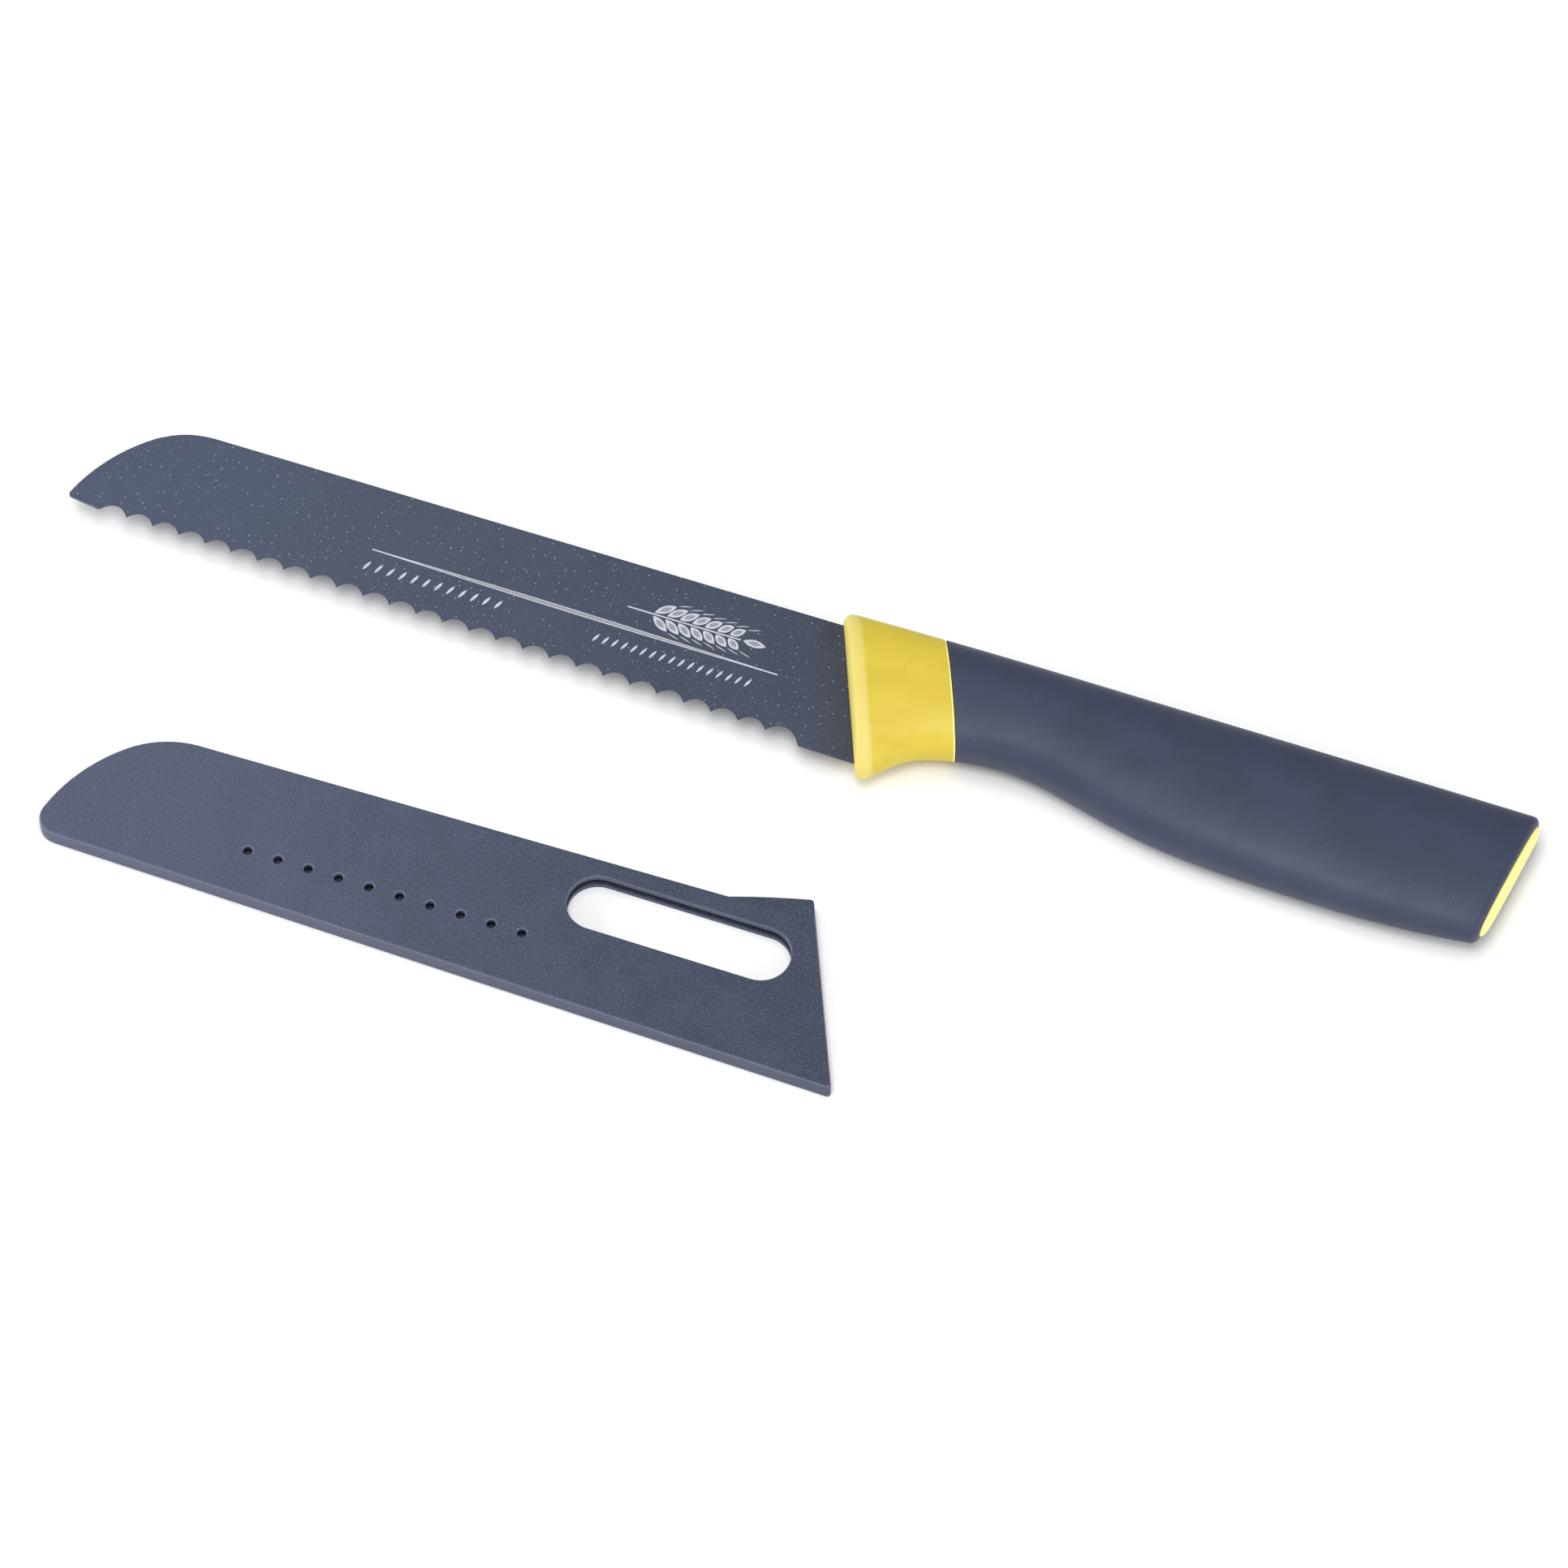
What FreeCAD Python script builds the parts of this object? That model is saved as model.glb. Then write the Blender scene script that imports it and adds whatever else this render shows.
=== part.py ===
"""Serrated bread knife with a moulded two-colour handle and its blade guard.

Every sub-part is drawn in the knife's own plan: X runs from the blade's tip to
the butt, Y = 0 is the straight back of the blade with the teeth at -Y, and
Z = 0 is the middle of the blade's thickness.  The guard is drawn in the place
it has on the blade.  The last placements lay the knife on its side, put the
guard beside it on the same surface, and centre the whole on the origin.
"""
import FreeCAD, Part
import math
import os
import re
import Sketcher

doc = FreeCAD.newDocument("bread_knife")
sheet = doc.addObject("Spreadsheet::Sheet", "sheet")

# Driving dimensions in millimetres, angles in degrees.
SIZES = {
    # blade blank
    "blade_thickness": 1.7,
    "edge_thickness": 0.5,
    "tip_drop": 26.4,
    "back_round": 0.35,
    "nose_start": 27.0,
    "nose_radius": 21.2,
    "nose_turn": 42.0,
    "front_radius": 42.4,
    "tip_round": 0.8,
    "heel_start": 185.3,
    "heel_drop": 34.5,
    "blade_root_drop": 34.9,
    "grind_end": 202.5,
    "root_start": 185.15,
    # serration
    "tooth_line_drop": 27.25,
    "tooth_line_angle": 1.91,
    "tooth_start": 8.96,
    "tooth_pitch": 6.74,
    "gullet_radius": 5.2,
    "gullet_depth": 2.2,
    "gullet_tilt": 35.0,
    "heel_gullet_radius": 6.2,
    "heel_gullet_depth": 2.4,
    "wheel_width": 50.0,
    # tang
    "shoulder_start": 194.0,
    "shoulder_end": 197.0,
    "tang_start": 205.0,
    "tang_corner": 3.0,
    "tang_end": 292.0,
    "tang_high": 4.5,
    "tang_low": 17.5,
    "tang_hole": 3.0,
    "tang_hole_start": 225.0,
    "tang_hole_pitch": 26.0,
    # handle
    "collar_lean": 23.0,
    "collar_front": 185.2,
    "handle_top": 3.1,
    "handle_butt": 353.4,
    "collar_thickness": 14.0,
    "grip_thickness": 16.0,
    "butt_thickness": 12.0,
    "section_power": 2.6,
    "collar_round": 3.4,
    "butt_round": 1.7,
    "grip_wall": 2.0,
    "cap_rise": 1.2,
    "cap_round": 3.2,
    "seam_radius": 500.0,
    "seam_middle": 215.9,
    "seam_drop": 12.0,
    # guard
    "guard_plate": 1.3,
    "guard_floor": 1.2,
    "guard_cavity": 2.1,
    "guard_margin": 2.8,
    "guard_front_radius": 40.0,
    "guard_play": 0.8,
    "guard_mouth_gap": 7.0,
    "guard_edge_angle": 2.3,
    "guard_tip_round": 5.0,
    "guard_mouth_round": 0.9,
    "guard_edge_round": 0.6,
    "fin_length": 21.0,
    "fin_height": 5.3,
    "fin_slope": 0.8,
    "slot_middle": 148.0,
    "slot_drop": 8.9,
    "slot_half_length": 19.85,
    "slot_radius": 6.95,
    "slot_round": 0.4,
    "slot_angle": 1.3,
    "hole_start": 47.6,
    "hole_drop": 20.35,
    "hole_pitch": 7.44,
    "hole_radius": 1.1,
    "hole_chamfer": 0.3,
    "hole_line_angle": 0.8,
    # where the guard lies beside the knife
    "guard_turn": 1.25,
    "guard_pivot": 99.2,
    "guard_pivot_drop": 14.6,
    "guard_rest": 127.6,
    "guard_rest_drop": 94.5,
    # the whole object on its origin, worked out below
    "frame_along": 0.0,
    "frame_across": 0.0,
    "frame_up": 0.0,
}
# Each size gets a cell and an alias of its own.
for row, (alias, value) in enumerate(SIZES.items(), start=1):
    sheet.set("A%d" % row, alias)
    sheet.set("B%d" % row, str(value))
    sheet.setAlias("B%d" % row, alias)
doc.recompute()

UP = FreeCAD.Vector(0, 0, 1)
ORIGIN_POINT = (-1, 1)      # Sketcher's name for a sketch's origin
REACH = 40.0                # cutting tools run this far past the knife's sides
SPARE = 5.0                 # an overlap of two shapes, or how far a cut runs past an edge
LEVEL_SLACK = 0.01          # how far an edge may lie from a level that it belongs to
FRONT_MIDDLE = 0.65         # a point on the blade's front arc, as a part of the tip's drop
FIN_RUN, FIN_RISE = 0.5, 0.6    # halfway along the fin, it has this part of its height
SECTION_POINTS = 40         # points on each cross-section of the handle
HANDLE_SECTIONS = 17
CORE_START = 0.1            # the hidden core's start inside the collar, a fraction of the handle
RIM_SECTIONS = 6
GULLET_COUNT = 25
TANG_HOLE_COUNT = 3
GUARD_HOLE_COUNT = 10

# The underside of the handle, from the point below the heel to the butt: a finger
# hollow behind the collar, then the belly.
UNDERSIDE = [(201.9, -39.3), (205.6, -34.6), (211.2, -29.0), (219.5, -25.7), (235.5, -24.1),
             (252.0, -27.7), (268.5, -31.6), (298.0, -34.1), (325.0, -34.4), (348.3, -32.4)]


def cells(expression):
    """Write each size in an expression as the sheet's cell."""
    return re.sub(r"[a-z_]+", lambda word: "sheet." + word[0] if word[0] in SIZES else word[0],
                  expression)


def size(alias):
    return float(getattr(sheet, alias))


def number(expression):
    """The present value of an expression of the sheet's sizes."""
    value = sheet.evalExpression(re.sub(r"sheet\.", "", cells(expression)))
    return float(getattr(value, "Value", value))


def bind(owner, **expressions):
    for name, expression in expressions.items():
        owner.setExpression(name, cells(expression))


def place(owner, along="0", across="0", up="0"):
    """Bind an object's position to the sheet."""
    for axis, expression in zip("xyz", (along, across, up)):
        owner.setExpression("Placement.Base." + axis, cells(expression))


def new_sketch(body, name, role="XY_Plane", raised=None):
    """A sketch on one of the body's own origin planes, raised by an expression if given."""
    sketch = body.newObject("Sketcher::SketchObject", name)
    plane = [f for f in body.Origin.OriginFeatures if f.Role == role][0]
    sketch.AttachmentSupport = [(plane, "")]
    sketch.MapMode = "FlatFace"
    if raised:
        sketch.setExpression("AttachmentOffset.Base.z", cells(raised))
    return sketch


def pin(sketch, geometry, point, along, across):
    """Hold one point of the sketch at two expressions from its origin."""
    for kind, expression in (("DistanceX", along), ("DistanceY", across)):
        index = sketch.addConstraint(
            Sketcher.Constraint(kind, *ORIGIN_POINT, geometry, point, number(expression)))
        sketch.setExpression("Constraints[%d]" % index, cells(expression))


def spot(corner):
    return FreeCAD.Vector(number(corner[0]), number(corner[1]), 0)


def outline(sketch, corners):
    """A closed outline. A corner is (x, y), or (x, y, via) where the arc from this corner to
    the next passes through the point via. All are expressions of the sheet's sizes."""
    ends = []
    for i, corner in enumerate(corners):
        start, end = spot(corner), spot(corners[(i + 1) % len(corners)])
        first = 1
        if len(corner) == 2:
            sketch.addGeometry(Part.LineSegment(start, end))
        else:
            via = spot(corner[2])
            sketch.addGeometry(Part.Arc(start, via, end))
            first = 1 if (via - start).cross(end - via).z > 0 else 2
        ends.append((first, 3 - first))
    for i, corner in enumerate(corners):
        following = (i + 1) % len(corners)
        sketch.addConstraint(
            Sketcher.Constraint("Coincident", i, ends[i][1], following, ends[following][0]))
        pin(sketch, i, ends[i][0], corner[0], corner[1])
        if len(corner) == 3:
            guide = sketch.addGeometry(Part.Point(spot(corner[2])), True)
            pin(sketch, guide, 1, *corner[2])
            sketch.addConstraint(Sketcher.Constraint("PointOnObject", guide, 1, i))
    return sketch


def round_holes(sketch, centres, radius):
    """Circles of one radius, an alias, at a list of (x, y) expressions."""
    for along, across in centres:
        circle = sketch.addGeometry(Part.Circle(spot((along, across)), UP, size(radius)))
        pin(sketch, circle, 3, along, across)
        index = sketch.addConstraint(Sketcher.Constraint("Radius", circle, size(radius)))
        sketch.setExpression("Constraints[%d]" % index, cells(radius))
    return sketch


def extrude(body, kind, name, profile, length, midplane=False):
    """A Pad or Pocket of a sketch."""
    feature = body.newObject("PartDesign::" + kind, name)
    feature.Profile = profile
    feature.SideType = "Symmetric" if midplane else "One side"
    bind(feature, Length=length)
    return feature


def fillet(body, base, name, radius, chosen):
    """Round the edges of a feature that the test chosen(edge) picks."""
    doc.recompute()
    names = ["Edge%d" % i for i, edge in enumerate(base.Shape.Edges, start=1) if chosen(edge)]
    feature = body.newObject("PartDesign::Fillet", name)
    feature.Base = (base, names)
    bind(feature, Radius=radius)
    return feature


def on_level(edge, height):
    """Does an edge lie at one height?"""
    box = edge.BoundBox
    return abs(box.ZMin - height) < LEVEL_SLACK and abs(box.ZMax - height) < LEVEL_SLACK


def boolean(kind, name, base, tool):
    feature = doc.addObject("Part::" + kind, name)
    feature.Base = base
    feature.Tool = tool
    return feature


# ---------------------------------------------------------------- blade

def blade_nose(margin):
    """The curved front of the blade, outwards by margin: the end of the straight back, the
    radius of the arc that follows it, and where that arc ends."""
    radius = "(nose_radius + %s)" % margin
    joint, upper = [("nose_start - %s * sin(%s)" % (radius, turn),
                     "-nose_radius + %s * cos(%s)" % (radius, turn))
                    for turn in ("nose_turn", "nose_turn / 2")]
    return ("nose_start", margin, upper), radius, joint


def front_point(nose, front, drop):
    """The x, at a drop below the back, of the front arc of one radius that carries on
    smoothly from a nose arc of another."""
    centre_x = "(nose_start + (%s - %s) * sin(nose_turn))" % (front, nose)
    centre_drop = "(nose_radius + (%s - %s) * cos(nose_turn))" % (front, nose)
    return "%s - sqrt(pow(%s; 2) - pow(%s - %s; 2))" % (centre_x, front, centre_drop, drop)


def tooth_line(along, clear="0"):
    """The y of the line through the tooth points at a distance along the blade."""
    return "-tooth_line_drop - (%s) * tan(tooth_line_angle) - %s" % (along, clear)


def is_back(edge):
    """Is an edge of the blank along the blade's straight back or curved nose?"""
    half = size("blade_thickness") / 2
    box = edge.BoundBox
    return ((on_level(edge, half) or on_level(edge, -half))
            and box.YMin > size("tip_round") - size("tip_drop")
            and box.XMax < size("tang_start") - SPARE)


def is_tip_corner(edge):
    """Is an edge the upright corner at the tip?"""
    return edge.BoundBox.ZLength > size("guard_floor") and edge.BoundBox.XMax < size("tip_round")


def make_blade():
    body = doc.addObject("PartDesign::Body", "blade_blank")
    back, nose, joint = blade_nose("0")
    middle_drop = "(tip_drop * %f)" % FRONT_MIDDLE
    lower = (front_point(nose, "front_radius", middle_drop), "-" + middle_drop)
    last_tooth = "(tooth_start + %d * tooth_pitch)" % GULLET_COUNT
    root = "(collar_front + blade_root_drop * tan(collar_lean) + %f)" % SPARE
    tang_middle = "(tang_low + tang_high) / 2"
    corner_inset = "tang_corner * (1 - cos(45))"
    corners = [
        (joint[0], joint[1], lower),
        (front_point(nose, "front_radius", "tip_drop"), "-tip_drop"),
        ("tooth_start", tooth_line("tooth_start")),
        (last_tooth, tooth_line(last_tooth)),
        ("heel_start", "-heel_drop"),
        (root, "-blade_root_drop"),
        ("tang_start", "-tang_low - tang_corner",
         ("tang_start + " + corner_inset, "-tang_low - " + corner_inset)),
        ("tang_start + tang_corner", "-tang_low"),
        ("tang_end", "-tang_low", ("tang_end + (tang_low - tang_high) / 2",
                                   "-" + tang_middle)),
        ("tang_end", "-tang_high"),
        ("shoulder_end", "-tang_high"),
        ("shoulder_start", "0"),
        back,
    ]
    sketch = outline(new_sketch(body, "blade_outline"), corners)
    blank = extrude(body, "Pad", "blade_plate", sketch, "blade_thickness", midplane=True)
    blank = fillet(body, blank, "tip_rounding", "tip_round", is_tip_corner)
    fillet(body, blank, "back_rounding", "back_round", is_back)
    for side, sign in (("upper", ""), ("under", "-")):
        wedge = outline(new_sketch(body, side + "_grind", "YZ_Plane"), [
            ("-back_round", sign + "blade_thickness / 2"),
            ("-heel_drop", sign + "edge_thickness / 2"),
            ("-heel_drop - %f" % SPARE, sign + "edge_thickness / 2"),
            ("-heel_drop - %f" % SPARE, sign + "blade_thickness"),
            ("-back_round", sign + "blade_thickness"),
        ])
        extrude(body, "Pocket", side + "_grinding", wedge, "2 * grind_end", midplane=True)
    # Inside the collar the blade keeps its full thickness, from a line along the collar's front.
    root_corners = [(start + " + %s * tan(collar_lean)" % drop, "-" + drop)
                    for start, drop in (("root_start", "blade_root_drop"),
                                        ("root_start", "back_round"))]
    root_corners += [("tang_start", "-back_round"), ("tang_start", "-blade_root_drop")]
    plate = outline(new_sketch(body, "root_outline"), root_corners)
    extrude(body, "Pad", "root_plate", plate, "blade_thickness", midplane=True)
    holes = round_holes(new_sketch(body, "tang_holes"),
                        [("tang_hole_start + %d * tang_hole_pitch" % i, "-(%s)" % tang_middle)
                         for i in range(TANG_HOLE_COUNT)], "tang_hole")
    extrude(body, "Pocket", "tang_holing", holes, "2 * blade_thickness", midplane=True)
    cutters = doc.addObject("Part::MultiFuse", "serration_grinding")
    cutters.Shapes = [gullet("gullet_%02d" % i, "(tooth_start + %f * tooth_pitch)" % (i + 0.5),
                             "gullet_radius", "gullet_depth") for i in range(GULLET_COUNT)]
    cutters.Shapes += [gullet("heel_gullet", "((%s + heel_start) / 2)" % last_tooth,
                              "heel_gullet_radius", "heel_gullet_depth")]
    return boolean("Cut", "blade_form", body, cutters)


def gullet(name, along, radius, depth):
    """A grinding wheel's cut across the edge, leaning so that the under side is hollowed
    further than the upper side."""
    wheel = doc.addObject("Part::Cylinder", name)
    bind(wheel, Radius=radius, Height="wheel_width")
    lean = FreeCAD.Rotation(FreeCAD.Vector(1, 0, 0), 90 - size("gullet_tilt"))
    wheel.Placement = FreeCAD.Placement(FreeCAD.Vector(), lean)
    # The wheel's rim meets the upper face at the gullet's depth, halfway along its width.
    place(wheel, along,
          "%s + %s - %s / sin(gullet_tilt) + wheel_width / 2 * cos(gullet_tilt)" % (
              tooth_line(along), depth, radius),
          "edge_thickness / 2 - wheel_width / 2 * sin(gullet_tilt)")
    return wheel


# ---------------------------------------------------------------- handle

def section(middle, half_wide, half_thick, direction, inset=0.0):
    """A rounded cross-section across the handle: a superellipse standing on its own plane."""
    power = 2.0 / size("section_power")
    points = []
    for i in range(SECTION_POINTS):
        angle = 2 * math.pi * i / SECTION_POINTS
        c, s = math.cos(angle), math.sin(angle)
        points.append(middle
                      + direction * math.copysign(abs(c) ** power, c) * (half_wide - inset)
                      + UP * math.copysign(abs(s) ** power, s) * (half_thick - inset))
    curve = Part.BSplineCurve()
    curve.interpolate(Points=points, PeriodicFlag=True)
    return Part.Wire([curve.toShape()])


def handle_thickness(fraction):
    """Thickness from collar to butt: a parabola through the three measured places."""
    f = fraction
    return (size("collar_thickness") * (1 - f) * (1 - 2 * f)
            + size("grip_thickness") * 4 * f * (1 - f)
            + size("butt_thickness") * f * (2 * f - 1))


UNDERSIDE_CURVE = Part.BSplineCurve()
UNDERSIDE_CURVE.interpolate([FreeCAD.Vector(x, y, 0) for x, y in UNDERSIDE])


def handle_section(fraction, inset=0.0, shift=0.0):
    """The cross-section at a fraction of the way from the collar's leaning front to the butt,
    moved squarely towards the butt by a shift. The sections fan out between the straight
    top and the curved underside."""
    lean = math.tan(math.radians(size("collar_lean")))
    first = size("collar_front") - size("handle_top") * lean
    top = FreeCAD.Vector(first + fraction * (size("handle_butt") - first), size("handle_top"), 0)
    curve = UNDERSIDE_CURVE
    low = curve.value(curve.parameterAtDistance(fraction * curve.length(), curve.FirstParameter))
    across = low - top
    half_wide = across.Length / 2
    across.normalize()
    return section((top + low) / 2 + UP.cross(across) * shift, half_wide,
                   handle_thickness(fraction) / 2, across, inset)


def loft(name, places):
    """A solid through the handle's cross-sections at (fraction, inset, shift) places."""
    sections = []
    for i, where in enumerate(places):
        profile = doc.addObject("Part::Feature", "%s_section_%02d" % (name, i))
        profile.Shape = handle_section(*where)
        sections.append(profile)
    form = doc.addObject("Part::Loft", name)
    form.Sections = sections
    form.Solid = True
    form.Ruled = False
    return form


def quarter_turns():
    """Even steps of a quarter circle."""
    return [math.pi / 2 * i / (RIM_SECTIONS - 1) for i in range(RIM_SECTIONS)]


def rim_places(radius, at_butt):
    """Cross-sections that shrink towards an end of the handle as a quarter circle does."""
    length = size("handle_butt") - size("collar_front")
    places = []
    for turn in quarter_turns():
        fraction = radius * (1 - math.cos(turn)) / length
        places.append((1 - fraction if at_butt else fraction, radius * (1 - math.sin(turn))))
    return places


def cap_places():
    """Cross-sections of the core's crowned end, which stands out of the grip at the butt."""
    return [(1.0, size("grip_wall") + size("cap_round") * (1 - math.cos(turn)),
             size("cap_rise") * math.sin(turn)) for turn in quarter_turns()]


def run_places(start, end, inset=0.0):
    """Evenly spaced cross-sections between two fractions."""
    steps = HANDLE_SECTIONS - 1
    return [(start + (end - start) * i / steps, inset) for i in range(HANDLE_SECTIONS)]


def make_handle(blade):
    """The yellow core with its collar, moulded round the tang, and the grip moulded over it."""
    front = rim_places(size("collar_round"), at_butt=False)
    butt = rim_places(size("butt_round"), at_butt=True)
    outside = doc.addObject("Part::MultiFuse", "handle_outside")
    outside.Shapes = [loft("collar_rim", front),
                      loft("handle_run", run_places(front[-1][0], butt[-1][0])),
                      loft("butt_rim", butt)]
    inside = loft("core_run", run_places(CORE_START, 1.0, size("grip_wall")))
    seam = doc.addObject("Part::Cylinder", "seam_surface")
    bind(seam, Radius="seam_radius", Height="2 * %f" % REACH)
    place(seam, "seam_middle - seam_radius * cos(collar_lean)",
          "-seam_drop - seam_radius * sin(collar_lean)", "-%f" % REACH)
    collar = boolean("Common", "collar_form", outside, seam)
    whole_core = doc.addObject("Part::MultiFuse", "whole_core")
    whole_core.Shapes = [collar, inside, loft("butt_cap", cap_places())]
    core = boolean("Cut", "core_form", whole_core, blade)
    rear = boolean("Cut", "grip_outside", outside, seam)
    grip = boolean("Cut", "grip_form", rear, inside)
    return core, grip


# ---------------------------------------------------------------- guard

def guard_edge(along):
    """The y of the guard's lower edge at a distance along the blade."""
    return "-tooth_line_drop - guard_margin - (%s) * tan(guard_edge_angle)" % along


def mouth(drop):
    """The x of the guard's mouth, which leans like the collar, at a drop below the back."""
    return "collar_front - guard_mouth_gap + (%s) * tan(collar_lean)" % drop


def guard_outline(body, name, raised):
    """The outside of the guard: round the blade, with a thumb fin at the mouth."""
    back, nose, joint = blade_nose("guard_margin")
    middle_drop = "(tip_drop * %f)" % FRONT_MIDDLE
    lower = (front_point(nose, "guard_front_radius", middle_drop), "-" + middle_drop)
    corner_drop = "(tooth_line_drop + guard_margin)"
    low_mouth = mouth("heel_drop + guard_margin")
    fin_top = "guard_margin + fin_height"
    corners = [
        (joint[0], joint[1], lower),
        (front_point(nose, "guard_front_radius", corner_drop), "-" + corner_drop),
        (low_mouth, guard_edge(low_mouth)),
        (mouth("-guard_margin - fin_height"), fin_top,
         (mouth("-guard_margin") + " - fin_length * %f" % FIN_RUN,
          "guard_margin + fin_height * %f" % FIN_RISE)),
        (mouth("-guard_margin") + " - fin_length", "guard_margin"),
        back,
    ]
    return outline(new_sketch(body, name, raised=raised), corners)


def cavity_outline(body, name, raised):
    """The hollow for the blade, with play all round it and open at the mouth."""
    back, nose, joint = blade_nose("guard_play")
    front = "(front_radius + guard_play)"
    middle_drop = "(tip_drop * %f)" % FRONT_MIDDLE
    start = "tooth_start / 4"
    corners = [
        (joint[0], joint[1], (front_point(nose, front, middle_drop), "-" + middle_drop)),
        (front_point(nose, front, "tip_drop"), "-tip_drop"),
        (start, tooth_line(start, "guard_play")),
        ("heel_start", "-heel_drop - guard_play"),
        (mouth("heel_drop") + " + fin_length", "-blade_root_drop - guard_play"),
        (mouth("0") + " + fin_length", "guard_play"),
        back,
    ]
    return outline(new_sketch(body, name, raised=raised), corners)


def slot_and_holes(body, level, depth):
    """The round-ended slot and the line of small round holes, cut down from a level."""
    slot = new_sketch(body, body.Name + "_slot", raised=level)
    slot.AttachmentOffset = FreeCAD.Placement(FreeCAD.Vector(0, 0, number(level)),
                                              FreeCAD.Rotation(UP, -size("slot_angle")))
    bind(slot, **{"AttachmentOffset.Base.x": "slot_middle",
                  "AttachmentOffset.Base.y": "-slot_drop",
                  "AttachmentOffset.Base.z": level})
    half, radius = "slot_half_length", "slot_radius"
    outline(slot, [
        ("-" + half, "-" + radius),
        (half, "-" + radius, ("%s + %s" % (half, radius), "0")),
        (half, radius),
        ("-" + half, radius, ("-%s - %s" % (half, radius), "0")),
    ])
    extrude(body, "Pocket", body.Name + "_slot_cut", slot, depth)
    holes = round_holes(new_sketch(body, body.Name + "_holes", raised=level),
                        [("hole_start + %d * hole_pitch" % i,
                          "-hole_drop - %d * hole_pitch * tan(hole_line_angle)" % i)
                         for i in range(GUARD_HOLE_COUNT)], "hole_radius")
    return extrude(body, "Pocket", body.Name + "_hole_cut", holes, depth)


def fin_slope(body, level, inward):
    """Let the thumb fin fall away from a face outside the line of the guard's back. The
    face is at a level, and inward is the sign of z towards the middle of the guard."""
    start = "guard_margin - guard_edge_round / 2"
    outer = "guard_margin + 1.5 * fin_height"
    clear = "%s + %d * fin_slope" % (level, -inward)
    wedge = outline(new_sketch(body, body.Name + "_fin", "YZ_Plane"), [
        (start, level),
        (outer, "%s + %d * fin_slope" % (level, inward)),
        (outer, clear),
        (start, clear),
    ])
    extrude(body, "Pocket", body.Name + "_fin_cut", wedge, "3 * collar_front", midplane=True)


def is_outer(edge):
    """Is an edge on the guard's outline but not across its open mouth?"""
    box = edge.BoundBox
    return not (box.XMax > size("collar_front") and box.YLength > size("heel_drop"))


def is_mouth_corner(edge):
    """Is an edge one of the guard's two upright corners at the mouth?"""
    box = edge.BoundBox
    return (box.ZLength > size("guard_floor")
            and box.XMin > size("collar_front") - size("fin_length"))


def is_slot_rim(edge):
    middle = edge.BoundBox.Center
    return (abs(middle.x - size("slot_middle")) < size("slot_half_length") + size("slot_radius")
            and abs(middle.y + size("slot_drop")) < size("slot_radius") + size("slot_round"))


def round_corners(body, base):
    """Round the upright corners of one of the guard's plates."""
    tip = fillet(body, base, body.Name + "_tip_corner", "guard_tip_round", is_tip_corner)
    return fillet(body, tip, body.Name + "_mouth_corners", "guard_mouth_round", is_mouth_corner)


def make_guard():
    """The guard's two welded mouldings: a flat plate over a tray that holds the hollow."""
    upper = doc.addObject("PartDesign::Body", "guard_upper_shell")
    top = "guard_cavity / 2 + guard_plate"
    plate = extrude(upper, "Pad", "guard_plate_pad",
                    guard_outline(upper, "guard_plate_outline", "guard_cavity / 2"), "guard_plate")
    height = number(top)
    plate = round_corners(upper, plate)
    fillet(upper, plate, "guard_plate_round", "guard_edge_round",
           lambda edge: on_level(edge, height) and is_outer(edge))
    fin_slope(upper, top, -1)
    cut = slot_and_holes(upper, top, "2 * guard_plate")
    rim = fillet(upper, cut, "slot_rim_round", "slot_round",
                 lambda edge: on_level(edge, height) and is_slot_rim(edge))
    doc.recompute()
    chamfer = upper.newObject("PartDesign::Chamfer", "hole_rims")
    chamfer.Base = (rim, ["Edge%d" % i for i, edge in enumerate(rim.Shape.Edges, start=1)
                          if on_level(edge, height) and edge.Closed])
    bind(chamfer, Size="hole_chamfer")

    lower = doc.addObject("PartDesign::Body", "guard_lower_shell")
    under = "-(guard_cavity / 2 + guard_floor)"
    tray = extrude(lower, "Pad", "guard_tray_pad",
                   guard_outline(lower, "guard_tray_outline", under), "guard_floor + guard_cavity")
    depth = number(under)
    tray = round_corners(lower, tray)
    fillet(lower, tray, "guard_tray_round", "guard_edge_round",
           lambda edge: on_level(edge, depth) and is_outer(edge))
    fin_slope(lower, under, 1)
    hollow = cavity_outline(lower, "guard_hollow_outline", "guard_cavity / 2")
    extrude(lower, "Pocket", "guard_hollow", hollow, "guard_cavity")
    slot_and_holes(lower, "guard_cavity / 2", "2 * (guard_floor + guard_cavity)")
    for shell in (upper, lower):
        turn = FreeCAD.Rotation(UP, size("guard_turn"))
        shell.Placement = FreeCAD.Placement(FreeCAD.Vector(), turn)
        place(shell,
              "frame_along + guard_rest - guard_pivot * cos(guard_turn)"
              " - guard_pivot_drop * sin(guard_turn)",
              "frame_across - guard_rest_drop - guard_pivot * sin(guard_turn)"
              " + guard_pivot_drop * cos(guard_turn)",
              "guard_floor + guard_cavity / 2")
    return upper, lower


def finished(name, source):
    """A sub-part of the knife, laid on its side in the object's own frame."""
    part = doc.addObject("Part::Refine", name)
    part.Source = source
    place(part, "frame_along", "frame_across", "frame_up")
    return part


def centre_on_origin(parts):
    """Put the origin under the middle of the object, on the surface it lies on."""
    boxes = [part.Shape.optimalBoundingBox() for part in parts]
    sheet.set(sheet.getCellFromAlias("frame_along"),
              "%.3f" % (-(min(b.XMin for b in boxes) + max(b.XMax for b in boxes)) / 2))
    sheet.set(sheet.getCellFromAlias("frame_across"),
              "%.3f" % (-(min(b.YMin for b in boxes) + max(b.YMax for b in boxes)) / 2))
    sheet.set(sheet.getCellFromAlias("frame_up"), "%.3f" % -min(b.ZMin for b in boxes))
    doc.recompute()


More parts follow.
